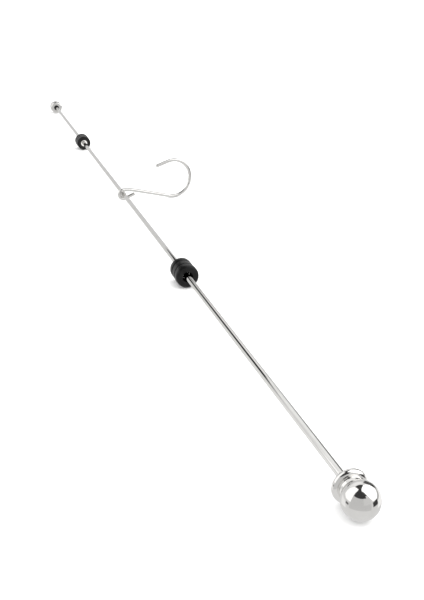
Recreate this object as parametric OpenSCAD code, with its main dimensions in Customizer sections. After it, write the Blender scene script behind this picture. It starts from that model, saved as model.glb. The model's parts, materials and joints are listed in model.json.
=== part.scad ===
// Chrome stick with a ball knob on each end, two rubber stops and a wire hanging hook.
// The stick lies along X with its axis on the X axis and its middle at the origin.
// +Z is up. The stick rests on its two balls, and the hook's bend rests beside it.

/* [Rod] */
// Distance between the middles of the two knob beads
bead_span = 1308; // [900:1:1500]
// Diameter of the rod
rod_d = 5; // [4:0.1:6]
// Diameter of the threaded spigot on each end of the rod
spigot_d = 4; // [3:0.1:4]
// Length of each threaded spigot
spigot_len = 10; // [6:0.5:11]

/* [Knobs] */
// Diameter of the ball
ball_d = 21.6; // [20:0.1:26]
// Distance from the middle of the bead to the middle of the ball
ball_offset = 13.2; // [13:0.1:15]
// Outside diameter of the bead behind the ball
bead_d = 21; // [18:0.1:24]
// Thickness of the bead, which is also twice the radius of its rim
bead_t = 5.2; // [4:0.1:6]
// Diameter of the neck between the bead and the ball
neck_d = 15.8; // [12:0.1:17]
// Diameter of the counterbore round the rod
recess_d = 9.8; // [9:0.1:12]
// Depth of the counterbore
recess_depth = 2.4; // [2:0.1:3]
// Thickness of the rubber ring in the counterbore
ring_t = 1.9; // [1.2:0.1:2]

/* [Stops] */
// Distance of each stop's middle from the middle of the stick
stop_x = 309.3; // [150:0.1:350]
// Outside diameter of the stop's widest ring
grip_d = 21; // [18:0.1:24]
// Length of the rubber
grip_len = 26.6; // [24:0.1:30]
// Outside diameter of the two ribs behind the widest ring
rib_d = 20.4; // [16:0.1:21]
// Width of each groove between the rings
groove_w = 1.6; // [1:0.1:2]
// Depth of each groove below the ribs
groove_depth = 1.1; // [0.5:0.1:1.5]
// Diameter of the recess in the face towards the knob
mouth_d = 9.2; // [8:0.1:9.4]
// Depth of that recess
mouth_depth = 12; // [6:0.5:14]
// Outside diameter of the metal set collar
collar_d = 10; // [9.6:0.1:12]
// Diameter of the collar's grub screw
screw_d = 3; // [2.5:0.1:3]

/* [Hook] */
// Distance of the hook's eye from the middle of the stick, towards the near knob
hook_x = 24; // [-150:1:150]
// Diameter of the hook's wire
wire_d = 4; // [3.4:0.1:4.2]
// Radius of the eye, to the middle of the wire
eye_r = 5.35; // [5.35:0.05:6]
// Radius of the big bend, to the middle of the wire
bend_r = 22.3; // [18:0.1:26]
// Reach from the rod to the middle of the big bend
bend_reach = 64.5; // [55:0.5:80]
// Radius of the shoulder between the eye and the straight stem
shoulder_r = 55; // [40:1:70]
// Angle at which the big bend ends and the straight tip starts, from level
bend_end = 107; // [80:1:120]
// Length of the straight tip
tip_len = 14; // [8:0.5:20]
// Length of the tail that closes the eye
tail_len = 11; // [8:0.5:12]
// Turn of the hook about the upright line through its eye
hook_yaw = 8; // [0:0.5:8]

/* [Liner] */
// Wall of the sleeve that lines the eye
liner_wall = 0.5; // [0.4:0.05:0.6]
// Length of the sleeve
liner_len = 4.2; // [4:0.1:8]

/* [Hidden] */
$fn = 48;

// Radial play of a part that runs or sits on another
play = 0.05;
// Overlap that lets one solid grow into the next
bite = 0.5;
chamfer = 0.4;
// The hook's wire is built in lengths: how far each stops short of the next, in mm and in degrees
// on the shoulder, and the length and height of the short sleeve that joins them
seam_gap = 0.1;
seam_turn = 0.1;
seam_len = 0.6;
seam = 0.05;

rod_r = rod_d / 2;
wire_r = wire_d / 2;
bead_x = bead_span / 2;
ball_x = bead_x + ball_offset;
// The rod's shoulder stops inside the knob, and its spigot goes on into the ball.
shoulder_x = bead_x + bead_t / 2;
bore_clear = 1;

collar_w = grip_len - mouth_depth;
ring_third = (grip_len - 2 * groove_w) / 3;
face_round = 2.6;
edge_round = 1;
wire_round = 1;

bend_z = bend_r + wire_r - ball_d / 2;
tail_angle = 20;
// The straight stem is the inner tangent of the shoulder's circle and the big bend's circle.
stem_reach = [bend_reach, bend_z - eye_r + shoulder_r];
stem_dist = norm(stem_reach);
stem_fall = atan2(stem_reach[0], stem_reach[1]) - acos((shoulder_r + bend_r) / stem_dist);
stem_len = sqrt(stem_dist * stem_dist - pow(shoulder_r + bend_r, 2));

// Lays a turned shape, drawn along +Z, along +X
module along_x() {
    rotate([0, 90, 0]) children();
}

// A sleeve or disc along +X from x = 0
module tube_x(r_out, r_in, len) {
    along_x() difference() {
        cylinder(r = r_out, h = len);
        translate([0, 0, -bite]) cylinder(r = r_in, h = len + 2 * bite);
    }
}

// A disc along +X from x = 0 whose rim is rounded by low at its start and by high at its end
module rounded_disc(r, len, low, high) {
    along_x() rotate_extrude() {
        translate([r - low, low]) circle(r = low);
        translate([r - high, len - high]) circle(r = high);
        translate([0, low]) square([r, len - low - high]);
        square([r - low, len]);
        translate([0, low]) square([r - high, len - low]);
    }
}

// A disc along +X from x = 0 whose whole rim is a half circle
module round_bead(r, len) {
    along_x() rotate_extrude() {
        translate([r - len / 2, len / 2]) circle(d = len);
        square([r - len / 2, len]);
    }
}

module rod() {
    color("gainsboro") {
        translate([-shoulder_x, 0, 0]) along_x() cylinder(d = rod_d, h = 2 * shoulder_x);
        translate([-shoulder_x - spigot_len, 0, 0])
            along_x() cylinder(d = spigot_d, h = 2 * (shoulder_x + spigot_len));
    }
}

// One turned knob on the +X end: bead, neck and ball in one piece, with a blind bore
module knob() {
    spigot_hole = spigot_len + bore_clear;
    color("silver") difference() {
        union() {
            translate([ball_x, 0, 0]) sphere(d = ball_d);
            translate([bead_x, 0, 0]) along_x() cylinder(d = neck_d, h = ball_offset);
            translate([bead_x - bead_t / 2, 0, 0]) round_bead(bead_d / 2, bead_t);
        }
        translate([bead_x - bead_t / 2 - bite, 0, 0])
            along_x() cylinder(d = recess_d, h = recess_depth + bite);
        translate([bead_x - bead_t / 2, 0, 0])
            along_x() cylinder(r = rod_r + play, h = shoulder_x - bead_x + bead_t / 2);
        translate([bead_x, 0, 0])
            along_x() cylinder(r = spigot_d / 2 + play, h = shoulder_x - bead_x + spigot_hole);
    }
}

// Rubber ring that cushions the rod's entry, sitting in the knob's counterbore
module knob_ring() {
    color("black") translate([bead_x - bead_t / 2 + recess_depth - ring_t / 2 - play, 0, 0])
        along_x() rotate_extrude()
            translate([rod_r + play + ring_t / 2, 0]) circle(d = ring_t);
}

// Ribbed rubber of the +X stop, its widest ring towards the knob
module grip() {
    root_r = rib_d / 2 - groove_depth;
    color([0.16, 0.16, 0.17]) translate([stop_x - grip_len / 2, 0, 0]) difference() {
        union() {
            rounded_disc(rib_d / 2, ring_third, face_round, edge_round);
            translate([ring_third + groove_w, 0, 0])
                rounded_disc(rib_d / 2, ring_third, edge_round, edge_round);
            translate([2 * (ring_third + groove_w), 0, 0])
                rounded_disc(grip_d / 2, ring_third, edge_round, face_round);
            translate([edge_round, 0, 0])
                along_x() cylinder(r = root_r, h = grip_len - 2 * edge_round);
        }
        translate([-bite, 0, 0]) along_x() cylinder(r = collar_d / 2 + play, h = collar_w + bite);
        along_x() cylinder(d = mouth_d, h = grip_len + bite);
    }
}

// Metal set collar that clamps the +X stop on the rod, with a tapped hole for its screw
module collar() {
    color("gainsboro") translate([stop_x - grip_len / 2, 0, 0]) difference() {
        tube_x(collar_d / 2, rod_r + play, collar_w - play);
        translate([collar_w / 2, 0, 0]) cylinder(r = screw_d / 2 + play, h = collar_d);
    }
}

// Grub screw with a hexagon socket, standing in the collar's hole
module collar_screw() {
    screw_len = collar_d / 2 - rod_r - play - chamfer;
    socket_across = 1.7;
    color("dimgray") translate([stop_x - grip_len / 2 + collar_w / 2, 0, rod_r + play])
        difference() {
            cylinder(d = screw_d, h = screw_len);
            translate([0, 0, screw_len / 2]) cylinder(d = socket_across, h = screw_len, $fn = 6);
        }
}

// Thin bright sleeve that lines the hook's eye and slides on the rod
module hook_liner() {
    color("gainsboro") translate([hook_x - liner_len / 2, 0, 0])
        tube_x(rod_r + play + liner_wall, rod_r + play, liner_len);
}

// Wire along an arc in the hook's plane, from angle a0 through sweep degrees about [u, v]
module wire_arc(u, v, r, a0, sweep) {
    translate([u, v, 0]) rotate([0, 0, a0])
        rotate_extrude(angle = sweep) translate([r, 0]) circle(r = wire_r);
}

// Straight wire from [u, v] towards angle a, stopping a hair short at both ends
module wire_line(u, v, a, len) {
    translate([u, v, 0]) rotate([0, 0, a]) translate([seam_gap, 0, 0])
        along_x() cylinder(r = wire_r, h = len - 2 * seam_gap);
}

// Straight wire from [u, v] towards angle a, with its far end rounded
module wire_end(u, v, a, len) {
    translate([u, v, 0]) rotate([0, 0, a]) translate([seam_gap, 0, 0]) along_x() rotate_extrude() {
        translate([wire_r - wire_round, len - wire_round]) circle(r = wire_round);
        square([wire_r - wire_round, len]);
        square([wire_r, len - wire_round]);
    }
}

// A short sleeve a hair thicker than the wire joins two lengths of it at [u, v], along angle a
module wire_joint(u, v, a) {
    translate([u, v, 0]) rotate([0, 0, a]) translate([-seam_len / 2, 0, 0])
        along_x() cylinder(r = wire_r + seam, h = seam_len);
}

// The whole wire drawn flat: u is the reach away from the rod, v is up
module hook_wire() {
    tail = [eye_r * sin(tail_angle), -eye_r * cos(tail_angle)];
    stem = [shoulder_r * sin(stem_fall), eye_r - shoulder_r * (1 - cos(stem_fall))];
    stem_end = stem + stem_len * [cos(stem_fall), -sin(stem_fall)];
    tip = [bend_reach + bend_r * cos(bend_end), bend_z + bend_r * sin(bend_end)];
    wire_end(tail[0], tail[1], tail_angle, tail_len + wire_r);
    wire_joint(tail[0], tail[1], tail_angle);
    wire_arc(0, 0, eye_r, 90, 180 + tail_angle);
    wire_joint(0, eye_r, 0);
    wire_arc(0, eye_r - shoulder_r, shoulder_r, 90 - stem_fall, stem_fall - seam_turn);
    wire_joint(stem[0], stem[1], -stem_fall);
    wire_line(stem[0], stem[1], -stem_fall, stem_len);
    wire_joint(stem_end[0], stem_end[1], -stem_fall);
    wire_arc(bend_reach, bend_z, bend_r, -90 - stem_fall, 90 + stem_fall + bend_end);
    wire_joint(tip[0], tip[1], bend_end + 90);
    wire_end(tip[0], tip[1], bend_end + 90, tip_len + wire_r);
}

module hook() {
    color("silver") translate([hook_x, 0, 0]) rotate([90, 0, 90 + hook_yaw]) hook_wire();
}

rod();
knob();  // near_knob
mirror([1, 0, 0]) knob();  // far_knob
knob_ring();  // near_knob_ring
mirror([1, 0, 0]) knob_ring();  // far_knob_ring
grip();  // near_grip
mirror([1, 0, 0]) grip();  // far_grip
collar();  // near_collar
mirror([1, 0, 0]) collar();  // far_collar
collar_screw();  // near_collar_screw
mirror([1, 0, 0]) collar_screw();  // far_collar_screw
hook_liner();
hook();
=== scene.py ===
import json
import math

import bmesh
import bpy
from mathutils import Matrix, Vector


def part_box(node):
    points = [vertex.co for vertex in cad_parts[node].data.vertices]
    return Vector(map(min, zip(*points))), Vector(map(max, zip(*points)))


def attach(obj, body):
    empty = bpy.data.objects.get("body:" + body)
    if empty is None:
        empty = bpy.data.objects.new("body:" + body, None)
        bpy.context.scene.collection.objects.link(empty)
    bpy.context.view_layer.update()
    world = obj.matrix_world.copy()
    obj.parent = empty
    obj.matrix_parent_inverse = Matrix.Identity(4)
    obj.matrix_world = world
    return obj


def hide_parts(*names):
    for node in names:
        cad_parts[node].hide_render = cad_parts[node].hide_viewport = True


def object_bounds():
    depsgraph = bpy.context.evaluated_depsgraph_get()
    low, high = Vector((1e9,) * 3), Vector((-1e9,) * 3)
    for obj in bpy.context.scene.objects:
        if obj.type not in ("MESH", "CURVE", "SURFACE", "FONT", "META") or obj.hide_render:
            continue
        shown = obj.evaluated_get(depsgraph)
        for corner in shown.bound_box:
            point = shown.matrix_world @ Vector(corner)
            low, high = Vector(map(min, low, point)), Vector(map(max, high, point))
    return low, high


# Looks for the chrome stick: a ball knob on each end, two rubber stops and a wire hanging hook.
# The stick lies along X with its axis on the X axis, and +Z is up. Lengths are in millimetres
# until they are turned into vertices.

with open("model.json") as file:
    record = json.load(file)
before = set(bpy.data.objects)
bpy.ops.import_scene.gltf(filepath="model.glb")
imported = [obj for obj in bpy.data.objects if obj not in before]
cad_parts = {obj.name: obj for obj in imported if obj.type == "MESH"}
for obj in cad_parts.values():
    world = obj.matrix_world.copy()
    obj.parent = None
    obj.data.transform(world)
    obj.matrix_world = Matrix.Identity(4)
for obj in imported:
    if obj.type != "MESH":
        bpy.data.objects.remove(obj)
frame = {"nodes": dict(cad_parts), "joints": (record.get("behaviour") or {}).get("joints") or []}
cad_lo, cad_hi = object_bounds()

MM = 0.001
TURN_STEPS = 96
SHARP_ANGLE = math.radians(50)
SIDES = (("near", 1), ("far", -1))

# Knob
BEAD_T = 5.2
BEAD_R = 10.5
NECK_R = 7.9
KNOB_FILLET = 0.3
RECESS_R = 4.9
RECESS_DEPTH = 2.4
SPIGOT_R = 2
SPIGOT_LEN = 10
BORE_END = 11
FIT = 0.05

# Rubber stop
RIB_R = 10.2
GROOVE_W = 1.6
GROOVE_DEPTH = 1.1
FACE_ROUND = 2.6
EDGE_ROUND = 1
LIP_ROUND = 0.6
MOUTH_R = 4.6
MOUTH_DEPTH = 12
COLLAR_R = 5
COLLAR_CHAMFER = 0.4

# Hook
EYE_R = 5.35
BEND_R = 22.3
BEND_REACH = 64.5
BEND_END = 107
SHOULDER_R = 55
TAIL_ANGLE = 20
TAIL_LEN = 11
TIP_LEN = 14
WIRE_R = 2
HOOK_YAW = math.radians(8)


def node_box(node):
    """Lowest and highest corner of a CAD node, in millimetres."""
    lo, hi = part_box(node)
    return lo / MM, hi / MM


ball_r = node_box("near_knob")[1].z
rod_r = node_box("rod")[1].z


# ---------------------------------------------------------------- meshes

def arc(along, radius, r, start, end, steps=8):
    """Points on an arc about (along, radius), its angles in degrees from the first axis to the second."""
    angles = [math.radians(start + (end - start) * i / steps) for i in range(steps + 1)]
    return [(along + r * math.cos(a), radius + r * math.sin(a)) for a in angles]


def with_supports(outline, gap=0.15, longest=40):
    """The outline with extra points near each corner and along each long straight."""
    points = [Vector(outline[0])]
    for point in outline[1:]:
        start, end = points[-1], Vector(point)
        length = (end - start).length
        if length > 8 * gap:
            inner = length - 2 * gap
            steps = max(1, math.ceil(inner / longest))
            shares = [(gap + inner * i / steps) / length for i in range(steps + 1)]
            points += [start.lerp(end, share) for share in shares]
        points.append(end)
    return points


def bridge(bm, first, second):
    """Faces between two rings of vertices. A ring on the axis is one vertex, repeated."""
    count = len(first)
    for i in range(count):
        j = (i + 1) % count
        corners = dict.fromkeys([first[i], first[j], second[j], second[i]])
        if len(corners) > 2:
            bm.faces.new(list(corners))


def finish_mesh(name, bm):
    """Turns a bmesh into a smooth-shaded object with its normals outwards."""
    bmesh.ops.recalc_face_normals(bm, faces=bm.faces)
    mesh = bpy.data.meshes.new(name)
    bm.to_mesh(mesh)
    bm.free()
    mesh.shade_smooth()
    mesh.set_sharp_from_angle(angle=SHARP_ANGLE)
    piece = bpy.data.objects.new(name, mesh)
    bpy.context.scene.collection.objects.link(piece)
    return piece


def turned(name, side, outline, ring=False):
    """A solid of revolution about the stick's axis. The outline runs from axis to axis, or is a closed
    ring. Side is 1 at the near end and -1 at the far end, where the same outline is mirrored."""
    points = with_supports(outline + outline[:1] if ring else outline)
    points = points[:-1] if ring else points
    bm = bmesh.new()
    rings = []
    for along, radius in points:
        if radius < FIT / 10:
            rings.append([bm.verts.new((side * along * MM, 0, 0))] * TURN_STEPS)
            continue
        turns = [math.tau * i / TURN_STEPS for i in range(TURN_STEPS)]
        rings.append([
            bm.verts.new((side * along * MM, radius * MM * math.cos(t), radius * MM * math.sin(t)))
            for t in turns
        ])
    pairs = list(zip(rings, rings[1:])) + ([(rings[-1], rings[0])] if ring else [])
    for first, second in pairs:
        bridge(bm, first, second)
    return finish_mesh(name, bm)


def assign(piece, material):
    piece.data.materials.clear()
    piece.data.materials.append(material)


def place(piece, body, slot, material, *nodes):
    """Puts a built piece on its CAD body, in the place of the CAD nodes that it stands for."""
    assign(piece, material)
    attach(piece, body)
    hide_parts(*nodes)


# ---------------------------------------------------------------- materials

def new_material(name):
    material = bpy.data.materials.new(name)
    material.use_nodes = True
    return material, material.node_tree, material.node_tree.nodes["Principled BSDF"]


def grain(tree, scale, stretch=(1, 1, 1), detail=3):
    """Noise of about scale lumps in a metre, on the piece's own coordinates."""
    coordinates = tree.nodes.new("ShaderNodeTexCoord")
    mapping = tree.nodes.new("ShaderNodeMapping")
    mapping.inputs["Scale"].default_value = stretch
    noise = tree.nodes.new("ShaderNodeTexNoise")
    noise.inputs["Scale"].default_value = scale
    noise.inputs["Detail"].default_value = detail
    tree.links.new(coordinates.outputs["Object"], mapping.inputs["Vector"])
    tree.links.new(mapping.outputs["Vector"], noise.inputs["Vector"])
    return noise.outputs["Fac"]


def remap(tree, value, from_low, from_high, low, high):
    node = tree.nodes.new("ShaderNodeMapRange")
    node.inputs["From Min"].default_value = from_low
    node.inputs["From Max"].default_value = from_high
    node.inputs["To Min"].default_value = low
    node.inputs["To Max"].default_value = high
    tree.links.new(value, node.inputs["Value"])
    return node.outputs["Result"]


def blend_colour(tree, factor, first, second):
    node = tree.nodes.new("ShaderNodeMix")
    node.data_type = "RGBA"
    node.inputs["A"].default_value = (*first, 1)
    node.inputs["B"].default_value = (*second, 1)
    tree.links.new(factor, node.inputs["Factor"])
    return node.outputs["Result"]


def arithmetic(tree, operation, first, second):
    node = tree.nodes.new("ShaderNodeMath")
    node.operation = operation
    for socket, value in zip(node.inputs, (first, second)):
        if isinstance(value, (int, float)):
            socket.default_value = value
        else:
            tree.links.new(value, socket)
    return node.outputs["Value"]


def bump(tree, shader, height, distance, strength=1):
    node = tree.nodes.new("ShaderNodeBump")
    node.inputs["Distance"].default_value = distance
    node.inputs["Strength"].default_value = strength
    tree.links.new(height, node.inputs["Height"])
    tree.links.new(node.outputs["Normal"], shader.inputs["Normal"])


def polished_metal(name, bright, dull, smooth, hazy, marks, mark_height):
    """Plated metal. Marks is the stretch of its fine polishing marks."""
    material, tree, shader = new_material(name)
    shader.inputs["Metallic"].default_value = 1
    smudges = grain(tree, 90, detail=4)
    fine = grain(tree, 1, stretch=marks, detail=2)
    tree.links.new(
        blend_colour(tree, remap(tree, smudges, 0.35, 0.7, 0, 1), bright, dull),
        shader.inputs["Base Color"],
    )
    worn = arithmetic(tree, "MULTIPLY", remap(tree, smudges, 0.4, 0.75, 0, 1), hazy - smooth)
    lined = remap(tree, fine, 0.4, 0.75, smooth, smooth * 1.5)
    tree.links.new(arithmetic(tree, "ADD", worn, lined), shader.inputs["Roughness"])
    bump(tree, shader, fine, mark_height)
    return material


def chrome_knob():
    return polished_metal(
        "chrome_ball", (0.88, 0.87, 0.85), (0.83, 0.82, 0.8), 0.03, 0.07, (900, 300, 300), 4e-7
    )


def chrome_rod():
    return polished_metal(
        "chrome_bar", (0.88, 0.87, 0.85), (0.82, 0.81, 0.79), 0.06, 0.12, (12, 3000, 3000), 1.5e-6
    )


def plated_wire():
    """Wire with a soft white plating: part of its light is scattered, and its edges mirror less."""
    material = polished_metal(
        "plated_wire", (0.86, 0.85, 0.83), (0.8, 0.79, 0.77), 0.08, 0.14, (700, 700, 700), 1e-6
    )
    shader = material.node_tree.nodes["Principled BSDF"]
    shader.inputs["Metallic"].default_value = 0.96
    shader.inputs["Specular IOR Level"].default_value = 0.1
    shader.inputs["Specular Tint"].default_value = (0.3, 0.3, 0.3, 1)
    return material


def turned_steel():
    return polished_metal(
        "turned_steel", (0.9, 0.89, 0.87), (0.82, 0.81, 0.79), 0.04, 0.09, (9000, 700, 700), 4e-7
    )


def rubber(name, dark, dusty, roughness, pebble):
    """Moulded rubber: fine pebbled skin, with a little dust and bloom."""
    material, tree, shader = new_material(name)
    shader.inputs["Specular IOR Level"].default_value = 0.25
    patches = grain(tree, 220, detail=5)
    skin = grain(tree, pebble, detail=3)
    dust = arithmetic(tree, "MULTIPLY", remap(tree, patches, 0.4, 0.75, 0, 1),
                      remap(tree, skin, 0.45, 0.7, 0.3, 1))
    tree.links.new(blend_colour(tree, dust, dark, dusty), shader.inputs["Base Color"])
    tree.links.new(
        remap(tree, patches, 0.3, 0.7, roughness - 0.06, roughness + 0.08), shader.inputs["Roughness"]
    )
    bump(tree, shader, skin, 3e-5, 0.5)
    return material


def blackened_steel():
    material, tree, shader = new_material("blackened_steel")
    shader.inputs["Metallic"].default_value = 0.9
    rub = grain(tree, 1800, detail=4)
    tree.links.new(
        blend_colour(tree, remap(tree, rub, 0.45, 0.8, 0, 1), (0.03, 0.03, 0.035), (0.2, 0.2, 0.21)),
        shader.inputs["Base Color"],
    )
    tree.links.new(remap(tree, rub, 0.3, 0.8, 0.32, 0.5), shader.inputs["Roughness"])
    bump(tree, shader, rub, 5e-6)
    return material


# ---------------------------------------------------------------- the pieces

def rod():
    """Bright bar from knob to knob, with a chamfered spigot in each knob."""
    chamfer = 0.4
    end = node_box("rod")[1].x
    shoulder = end - SPIGOT_LEN
    half = [
        (shoulder - chamfer, rod_r),
        (shoulder, rod_r - chamfer),
        (shoulder, SPIGOT_R),
        (end - chamfer, SPIGOT_R),
        (end, SPIGOT_R - chamfer),
        (end, 0),
    ]
    mirrored = [(-along, radius) for along, radius in reversed(half)]
    return turned("bar", 1, mirrored + half)


def knob(name, side):
    """Ball, neck and rounded bead, with the counterbore and the stepped bore that take the rod."""
    lo, hi = node_box("near_knob")
    back = lo.x
    ball = hi.x - ball_r
    bead = back + BEAD_T / 2
    rim_r = BEAD_T / 2
    rim_centre = BEAD_R - rim_r
    shoulder = bead + rim_r
    # Fillets where the neck runs into the ball and into the bead
    ball_reach = math.sqrt((ball_r + KNOB_FILLET) ** 2 - (NECK_R + KNOB_FILLET) ** 2)
    ball_turn = math.degrees(math.atan2(NECK_R + KNOB_FILLET, -ball_reach))
    rise = NECK_R + KNOB_FILLET - rim_centre
    bead_reach = math.sqrt((rim_r + KNOB_FILLET) ** 2 - rise ** 2)
    bead_turn = math.degrees(math.atan2(rise, bead_reach))
    outline = [(hi.x, 0)]
    outline += arc(ball, 0, ball_r, 2, ball_turn, 56)
    outline += arc(ball - ball_reach, NECK_R + KNOB_FILLET, KNOB_FILLET, ball_turn - 180, -90, 6)
    outline += arc(bead + bead_reach, NECK_R + KNOB_FILLET, KNOB_FILLET, -90, bead_turn - 180, 6)
    outline += arc(bead, rim_centre, rim_r, bead_turn, 180, 36)
    outline += arc(back + KNOB_FILLET, RECESS_R + KNOB_FILLET, KNOB_FILLET, 180, 270, 5)
    outline += [
        (back + RECESS_DEPTH, RECESS_R),
        (back + RECESS_DEPTH, rod_r + FIT),
        (shoulder, rod_r + FIT),
        (shoulder, SPIGOT_R + FIT),
        (shoulder + BORE_END, SPIGOT_R + FIT),
        (shoulder + BORE_END, 0),
    ]
    return turned(name, side, outline)


def knob_ring(name, side):
    """Rubber ring in the counterbore."""
    lo, hi = node_box("near_knob_ring")
    ring_r = (hi.x - lo.x) / 2
    circle = arc((lo.x + hi.x) / 2, hi.z - ring_r, ring_r, 0, 360, 24)
    return turned(name, side, circle[:-1], ring=True)


def grip(name, side):
    """Ribbed rubber sleeve with a rounded wide ring, a recess towards the knob, and rounded grooves."""
    lo, hi = node_box("near_grip")
    start, end = lo.x, hi.x
    wide_r = hi.z
    third = (end - start - 2 * GROOVE_W) / 3
    root_r = RIB_R - GROOVE_DEPTH
    groove_round = 0.35
    outline = arc(start + FACE_ROUND, RIB_R - FACE_ROUND, FACE_ROUND, 180, 90, 12)
    for groove, next_r in ((1, RIB_R), (2, wide_r)):
        left = start + groove * third + (groove - 1) * GROOVE_W
        right = left + GROOVE_W
        outline += arc(left - EDGE_ROUND, RIB_R - EDGE_ROUND, EDGE_ROUND, 90, 0, 8)
        outline += arc(left + groove_round, root_r + groove_round, groove_round, 180, 270, 4)
        outline += arc(right - groove_round, root_r + groove_round, groove_round, 270, 360, 4)
        outline += arc(right + EDGE_ROUND, next_r - EDGE_ROUND, EDGE_ROUND, 180, 90, 8)
    outline += arc(end - FACE_ROUND, wide_r - FACE_ROUND, FACE_ROUND, 90, 0, 14)
    outline += arc(end - LIP_ROUND, MOUTH_R + LIP_ROUND, LIP_ROUND, 0, -90, 6)
    outline += [
        (end - MOUTH_DEPTH, MOUTH_R),
        (end - MOUTH_DEPTH, COLLAR_R + FIT),
        (start, COLLAR_R + FIT),
    ]
    return turned(name, side, outline, ring=True)


def collar(name, side):
    """Set collar with chamfered edges, and the hole for its grub screw."""
    lo, hi = node_box("near_collar")
    bevel = COLLAR_CHAMFER
    bore_r = rod_r + FIT
    outline = [
        (lo.x, bore_r + bevel),
        (lo.x, COLLAR_R - bevel),
        (lo.x + bevel, COLLAR_R),
        (hi.x - bevel, COLLAR_R),
        (hi.x, COLLAR_R - bevel),
        (hi.x, bore_r + bevel),
        (hi.x - bevel, bore_r),
        (lo.x + bevel, bore_r),
    ]
    piece = turned(name, side, outline, ring=True)
    screw_lo, screw_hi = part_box(f"{name.split('_')[0]}_collar_screw")
    screw_r = (screw_hi.x - screw_lo.x) / 2 + FIT * MM
    middle = (screw_lo.x + screw_hi.x) / 2
    bm = bmesh.new()
    bmesh.ops.create_cone(
        bm, segments=48, radius1=screw_r, radius2=screw_r, depth=2 * COLLAR_R * MM, cap_ends=True,
        matrix=Matrix.Translation((middle, 0, COLLAR_R * MM)),
    )
    cutter = finish_mesh("hole_cutter", bm)
    cut = piece.modifiers.new("screw_hole", "BOOLEAN")
    cut.operation = "DIFFERENCE"
    cut.object = cutter
    cut.solver = "EXACT"
    shape = piece.evaluated_get(bpy.context.evaluated_depsgraph_get())
    mesh = bpy.data.meshes.new_from_object(shape)
    piece.modifiers.clear()
    piece.data = mesh
    mesh.shade_smooth()
    mesh.set_sharp_from_angle(angle=SHARP_ANGLE)
    bpy.data.objects.remove(cutter)
    return piece


def hook_liner():
    """Thin sleeve in the hook's eye, with its edges eased."""
    lo, hi = node_box("hook_liner")
    ease = 0.15
    outer, inner = hi.z, rod_r + FIT
    outline = [
        (lo.x, inner), (lo.x, outer - ease), (lo.x + ease, outer),
        (hi.x - ease, outer), (hi.x, outer - ease), (hi.x, inner),
    ]
    return turned("eye_liner", 1, outline, ring=True)


def hook_path():
    """Centreline of the wire in the hook's plane, from the tail's end to the tip: (reach, height)."""
    bend_z = BEND_R + WIRE_R - ball_r
    drop = bend_z - EYE_R + SHOULDER_R
    fall = math.degrees(
        math.atan2(BEND_REACH, drop) - math.acos((SHOULDER_R + BEND_R) / math.hypot(BEND_REACH, drop))
    )
    tail = math.radians(TAIL_ANGLE)
    eye_end = Vector((EYE_R * math.sin(tail), -EYE_R * math.cos(tail)))
    tail_end = eye_end + TAIL_LEN * Vector((math.cos(tail), math.sin(tail)))
    path = [tail_end, eye_end.lerp(tail_end, 0.5)]
    path += arc(0, 0, EYE_R, TAIL_ANGLE + 270, 90, 60)
    path += arc(0, EYE_R - SHOULDER_R, SHOULDER_R, 90, 90 - fall, 12)[1:]
    path += arc(BEND_REACH, bend_z, BEND_R, -90 - fall, BEND_END, 90)
    tip = math.radians(BEND_END + 90)
    path.append(Vector(path[-1]) + TIP_LEN * Vector((math.cos(tip), math.sin(tip))))
    return [Vector(point) for point in path]


def hook():
    """The whole hook as one round wire, its ends cut square with a rounded edge."""
    segments, end_steps, end_round = 32, 5, 1
    path = hook_path()
    joint = next(j for j in frame["joints"] if j["name"] == "hook_swivel")
    origin = Vector(joint["pos_m"])
    reach_way = Vector((-math.sin(HOOK_YAW), math.cos(HOOK_YAW), 0))
    up = Vector((0, 0, 1))
    across = reach_way.cross(up)
    stations = []
    for i, point in enumerate(path):
        before, after = path[max(0, i - 1)], path[min(len(path) - 1, i + 1)]
        stations.append((point, (after - before).normalized(), WIRE_R))
    corner = WIRE_R - end_round
    caps = [
        (corner + end_round * math.sin(a), corner + end_round * math.cos(a))
        for a in (math.radians(90 * i / end_steps) for i in range(end_steps + 1))
    ]
    first, last = stations[0], stations[-1]
    start_cap = [(first[0] - first[1] * ahead, first[1], radius) for ahead, radius in reversed(caps)]
    end_cap = [(last[0] + last[1] * ahead, last[1], radius) for ahead, radius in caps]
    bm = bmesh.new()
    rings = []
    for point, direction, radius in start_cap + stations + end_cap:
        side = Vector((-direction.y, direction.x))
        centre = origin + (reach_way * point.x + up * point.y) * MM
        outwards = reach_way * side.x + up * side.y
        rings.append([
            bm.verts.new(centre + radius * MM * (math.cos(t) * outwards + math.sin(t) * across))
            for t in (math.tau * i / segments for i in range(segments))
        ])
    for lower, upper in zip(rings, rings[1:]):
        bridge(bm, lower, upper)
    for ring, (point, direction, _), way in ((rings[0], first, -1), (rings[-1], last, 1)):
        pole = point + direction * WIRE_R * way
        top = bm.verts.new(origin + (reach_way * pole.x + up * pole.y) * MM)
        for i in range(segments):
            bm.faces.new((ring[i], ring[(i + 1) % segments], top))
    return finish_mesh("hook_wire", bm)


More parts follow.
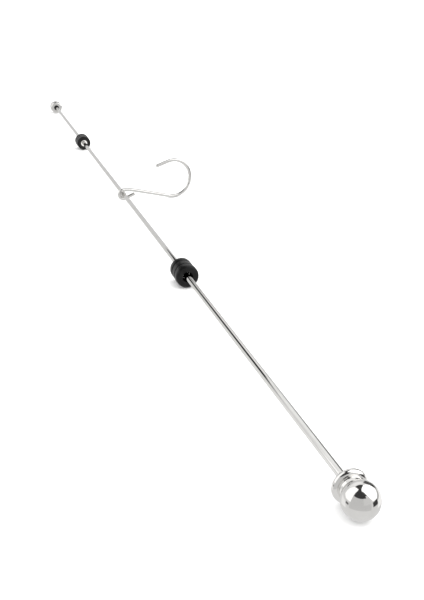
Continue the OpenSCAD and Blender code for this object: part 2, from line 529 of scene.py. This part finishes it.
def build_pieces():
    ball_chrome, bar_chrome = chrome_knob(), chrome_rod()
    stop_black = rubber("moulded_rubber", (0.005, 0.0048, 0.0052), (0.014, 0.0138, 0.0142), 0.3, 4500)
    ring_black = rubber("ring_rubber", (0.012, 0.012, 0.012), (0.03, 0.03, 0.03), 0.4, 6000)
    steel, screw = turned_steel(), blackened_steel()
    place(rod(), "stick", "chrome", bar_chrome, "rod")
    for end, side in SIDES:
        place(knob(f"{end}_knob_turned", side), "stick", "chrome", ball_chrome, f"{end}_knob")
        place(knob_ring(f"{end}_ring", side), "stick", "ring_rubber", ring_black, f"{end}_knob_ring")
        sleeve = grip(f"{end}_stop_rubber", side)
        place(sleeve, f"{end}_stop", "stop_rubber", stop_black, f"{end}_grip")
        sleeve.visible_glossy = end != "near"
        place(collar(f"{end}_set_collar", side), f"{end}_stop", "chrome", steel, f"{end}_collar")
        assign(frame["nodes"][f"{end}_collar_screw"], screw)
    place(hook_liner(), "hook_slider", "liner_steel", bar_chrome, "hook_liner")
    place(hook(), "hook", "chrome_wire", plated_wire(), "hook")


# ---------------------------------------------------------------- stage and light

FLOOR_SIZE = 60
# What the polished metal mirrors: brightness of the room, then patches laid over it in turn as
# (azimuth from, to, elevation from, to, brightness), in degrees
ROOM = 0.74
ROOM_EDGE = 5
ROOM_PATCHES = (
    # Far wall, black ceiling, wall on the camera's side
    (150, 200, -6, 24, 0.66),
    (150, 200, 24, 52, 0.85),
    (-200, -154, -6, 24, 0.66),
    (-200, -154, 24, 52, 0.88),
    (-200, 200, 53, 100, 0.05),
    (-88, 12, 41, 80, 0.045),
    (-88, 32, -26, 41, 0.6),
    (-10, 34, 6, 41, 0.67),
    # White paper, brightest beside the key light
    (76, 128, -30, -3, 1.05),
    (-152, -112, -34, -8, 0.93),
    # Gaps under and beyond the key light
    (42, 76, -14, 8, 0.05),
    (76, 116, -3, 5, 0.4),
    (117, 137, -2, 26, 0.04),
    (126, 147, 3, 36, 0.1),
    # Gap under the fill light
    (-112, -92, -15, -5, 0.15),
)
# Softboxes: the way to their middle (azimuth, elevation), distance, brightness, and the outline as
# shares of the distance, to the left and up as seen from the object
KEY_BOX = (85, 45, 2.5, 1.5, (
    (0.64, 0.43), (0.71, 0), (0.6, -0.6), (-0.2, -0.8), (-0.87, -0.55),
    (-0.78, 0.07), (-0.57, 0.48), (-0.13, 1.03), (0.14, 0.93),
))
FILL_BOX = (-115, 35, 2.5, 1.2, (
    (-0.11, 0.89), (-0.49, 0.51), (-0.59, 0), (-0.49, -0.52), (-0.07, -0.62),
    (0.68, -0.54), (0.52, -0.07), (0.31, 0.3), (0.08, 0.73),
))

# Level cards over the stick: name, x from and to, y from and to, height in metres, brightness
CARDS = (
    # Draws the dark line along the rod's top
    ("dark_card", (0.455, 0.13), (-0.005, -0.07), 0.05, 0),
    # Lights the top of the hook
    ("far_card", (0.12, -0.3), (-0.15, 0.4), 0.6, 0.95),
    # Draws the dark lines along the hook
    ("hook_card", (0.01, -0.11), (-0.05, 0.17), 0.15, 0.05),
    # Just over the floor: lights the far stop's collar
    ("stop_card", (-0.29, -0.18), (-0.005, 0.06), -0.0104, 1.2),
)
# Light on everything matt: even, and extra from the sides of the two softboxes
EVEN_LIGHT = 1.5
KEY_LIGHT = 2.0
FILL_LIGHT = 0.5
LIGHT_FOCUS = 6

# Camera: place from the middle of the near ball in metres, angles in degrees
CAMERA_FROM_BALL = (0.324, -0.1765, 0.2573)
CAMERA_HEADING = 163.45
CAMERA_PITCH = 21.98
LENS = 50


def way(azimuth, elevation):
    """Unit vector towards an azimuth and elevation in degrees, azimuth from +X towards +Y."""
    a, e = math.radians(azimuth), math.radians(elevation)
    return Vector((math.cos(a) * math.cos(e), math.sin(a) * math.cos(e), math.sin(e)))


def stage_object(name, bm):
    """Turns a bmesh into an object, linked into the scene."""
    mesh = bpy.data.meshes.new(name)
    bm.to_mesh(mesh)
    bm.free()
    thing = bpy.data.objects.new(name, mesh)
    bpy.context.scene.collection.objects.link(thing)
    return thing


def stage_sheet(name, corners):
    """One flat face of the stage, from its corners in metres."""
    bm = bmesh.new()
    bm.faces.new([bm.verts.new(corner) for corner in corners])
    return stage_object(name, bm)


def glow(name, brightness):
    material = bpy.data.materials.new(name)
    material.use_nodes = True
    tree = material.node_tree
    tree.nodes.remove(tree.nodes["Principled BSDF"])
    light = tree.nodes.new("ShaderNodeEmission")
    light.inputs["Strength"].default_value = brightness
    tree.links.new(light.outputs["Emission"], tree.nodes["Material Output"].inputs["Surface"])
    return material


def mirror_only(thing, brightness):
    """Makes a part of the stage glow, or black at 0, and leaves it in reflections only."""
    assign(thing, glow(thing.name, brightness))
    thing.visible_camera = False
    thing.visible_diffuse = False
    thing.visible_shadow = False


def floor():
    half = FLOOR_SIZE / 2
    corners = ((-half, -half), (half, -half), (half, half), (-half, half))
    plane = stage_sheet("floor", [(x, y, cad_lo.z) for x, y in corners])
    material, _, shader = new_material("paper_floor")
    shader.inputs["Base Color"].default_value = (0.9, 0.9, 0.9, 1)
    shader.inputs["Roughness"].default_value = 1
    shader.inputs["Specular IOR Level"].default_value = 0
    assign(plane, material)
    plane.visible_glossy = False


def softbox(name, azimuth, elevation, distance, brightness, outline):
    """A flat glowing panel that only the polished surfaces see."""
    focus = Vector(((node_box("near_knob")[1].x - ball_r) * MM, 0, 0))
    facing = way(azimuth, elevation)
    left = Vector((0, 0, 1)).cross(facing).normalized()
    up = facing.cross(left)
    panel = stage_sheet(name, [focus + distance * (facing + u * left + v * up) for u, v in outline])
    mirror_only(panel, brightness)


def card(name, x_span, y_span, height, brightness):
    """A level card over the stick that only the polished surfaces see."""
    (x_from, x_to), (y_from, y_to) = x_span, y_span
    corners = ((x_from, y_from), (x_from, y_to), (x_to, y_to), (x_to, y_from))
    mirror_only(stage_sheet(name, [(x, y, height) for x, y in corners]), brightness)


def mouth_shade():
    """A black tube in the near stop's mouth that keeps the mouth's inside dark in the metal."""
    segments = 32
    end = node_box("near_grip")[1].x
    bm = bmesh.new()
    rings = [
        [
            bm.verts.new(Vector((x, MOUTH_R * math.cos(a), MOUTH_R * math.sin(a))) * MM)
            for a in (math.tau * i / segments for i in range(segments))
        ]
        for x in (end - MOUTH_DEPTH, end)
    ]
    bridge(bm, *rings)
    mirror_only(stage_object("mouth_shade", bm), 0)


def soft_step(tree, value, edge, rising):
    """0 to 1 as the value passes the edge, or 1 to 0."""
    node = tree.nodes.new("ShaderNodeMapRange")
    node.interpolation_type = "SMOOTHSTEP"
    node.inputs["From Min"].default_value = edge - ROOM_EDGE / 2
    node.inputs["From Max"].default_value = edge + ROOM_EDGE / 2
    node.inputs["To Min"].default_value = 0 if rising else 1
    node.inputs["To Max"].default_value = 1 if rising else 0
    tree.links.new(value, node.inputs["Value"])
    return node.outputs["Result"]


def mirrored_room(tree, direction):
    """Brightness of the room that the metal mirrors, from the patches above."""
    parts = tree.nodes.new("ShaderNodeSeparateXYZ")
    tree.links.new(direction, parts.inputs["Vector"])
    flat = arithmetic(tree, "ARCTAN2", parts.outputs["Y"], parts.outputs["X"])
    azimuth = arithmetic(tree, "MULTIPLY", flat, math.degrees(1))
    steep = arithmetic(tree, "ARCSINE", parts.outputs["Z"], 0)
    elevation = arithmetic(tree, "MULTIPLY", steep, math.degrees(1))
    brightness = ROOM
    for az_from, az_to, el_from, el_to, value in ROOM_PATCHES:
        across = arithmetic(tree, "MULTIPLY", soft_step(tree, azimuth, az_from, True),
                            soft_step(tree, azimuth, az_to, False))
        upright = arithmetic(tree, "MULTIPLY", soft_step(tree, elevation, el_from, True),
                             soft_step(tree, elevation, el_to, False))
        inside = arithmetic(tree, "MULTIPLY", across, upright)
        change = arithmetic(tree, "SUBTRACT", value, brightness)
        brightness = arithmetic(tree, "ADD", brightness, arithmetic(tree, "MULTIPLY", inside, change))
    return brightness


def soft_daylight(tree, direction):
    """Even light on everything matt, stronger from the two softboxes' sides."""
    total = EVEN_LIGHT
    for strength, (azimuth, elevation) in ((KEY_LIGHT, KEY_BOX[:2]), (FILL_LIGHT, FILL_BOX[:2])):
        dot = tree.nodes.new("ShaderNodeVectorMath")
        dot.operation = "DOT_PRODUCT"
        dot.inputs[1].default_value = way(azimuth, elevation)
        tree.links.new(direction, dot.inputs[0])
        lobe = arithmetic(tree, "POWER", arithmetic(tree, "MAXIMUM", dot.outputs["Value"], 0), LIGHT_FOCUS)
        total = arithmetic(tree, "ADD", total, arithmetic(tree, "MULTIPLY", lobe, strength))
    return total


def studio():
    world = bpy.data.worlds.new("studio")
    bpy.context.scene.world = world
    world.use_nodes = True
    tree = world.node_tree
    background = tree.nodes["Background"]
    background.inputs["Color"].default_value = (1, 1, 1, 1)
    direction = tree.nodes.new("ShaderNodeTexCoord").outputs["Generated"]
    paths = tree.nodes.new("ShaderNodeLightPath")
    strength = soft_daylight(tree, direction)
    for ray, value in (("Is Glossy Ray", mirrored_room(tree, direction)), ("Is Camera Ray", 1)):
        change = arithmetic(tree, "SUBTRACT", value, strength)
        strength = arithmetic(tree, "ADD", strength,
                              arithmetic(tree, "MULTIPLY", paths.outputs[ray], change))
    tree.links.new(strength, background.inputs["Strength"])
    softbox("key_panel", *KEY_BOX)
    softbox("fill_panel", *FILL_BOX)
    for values in CARDS:
        card(*values)
    mouth_shade()
    bpy.context.scene.view_settings.view_transform = "Standard"


def camera():
    """Stands beyond the near knob and looks down along the stick."""
    data = bpy.data.cameras.new("camera")
    data.lens = LENS
    data.clip_start, data.clip_end = 0.01, 100
    eye = bpy.data.objects.new("camera", data)
    ball = Vector(((node_box("near_knob")[1].x - ball_r) * MM, 0, 0))
    eye.location = ball + Vector(CAMERA_FROM_BALL)
    eye.rotation_mode = "QUATERNION"
    eye.rotation_quaternion = way(CAMERA_HEADING, -CAMERA_PITCH).to_track_quat("-Z", "Y")
    bpy.context.scene.collection.objects.link(eye)
    bpy.context.scene.camera = eye


camera()
build_pieces()
floor()
studio()
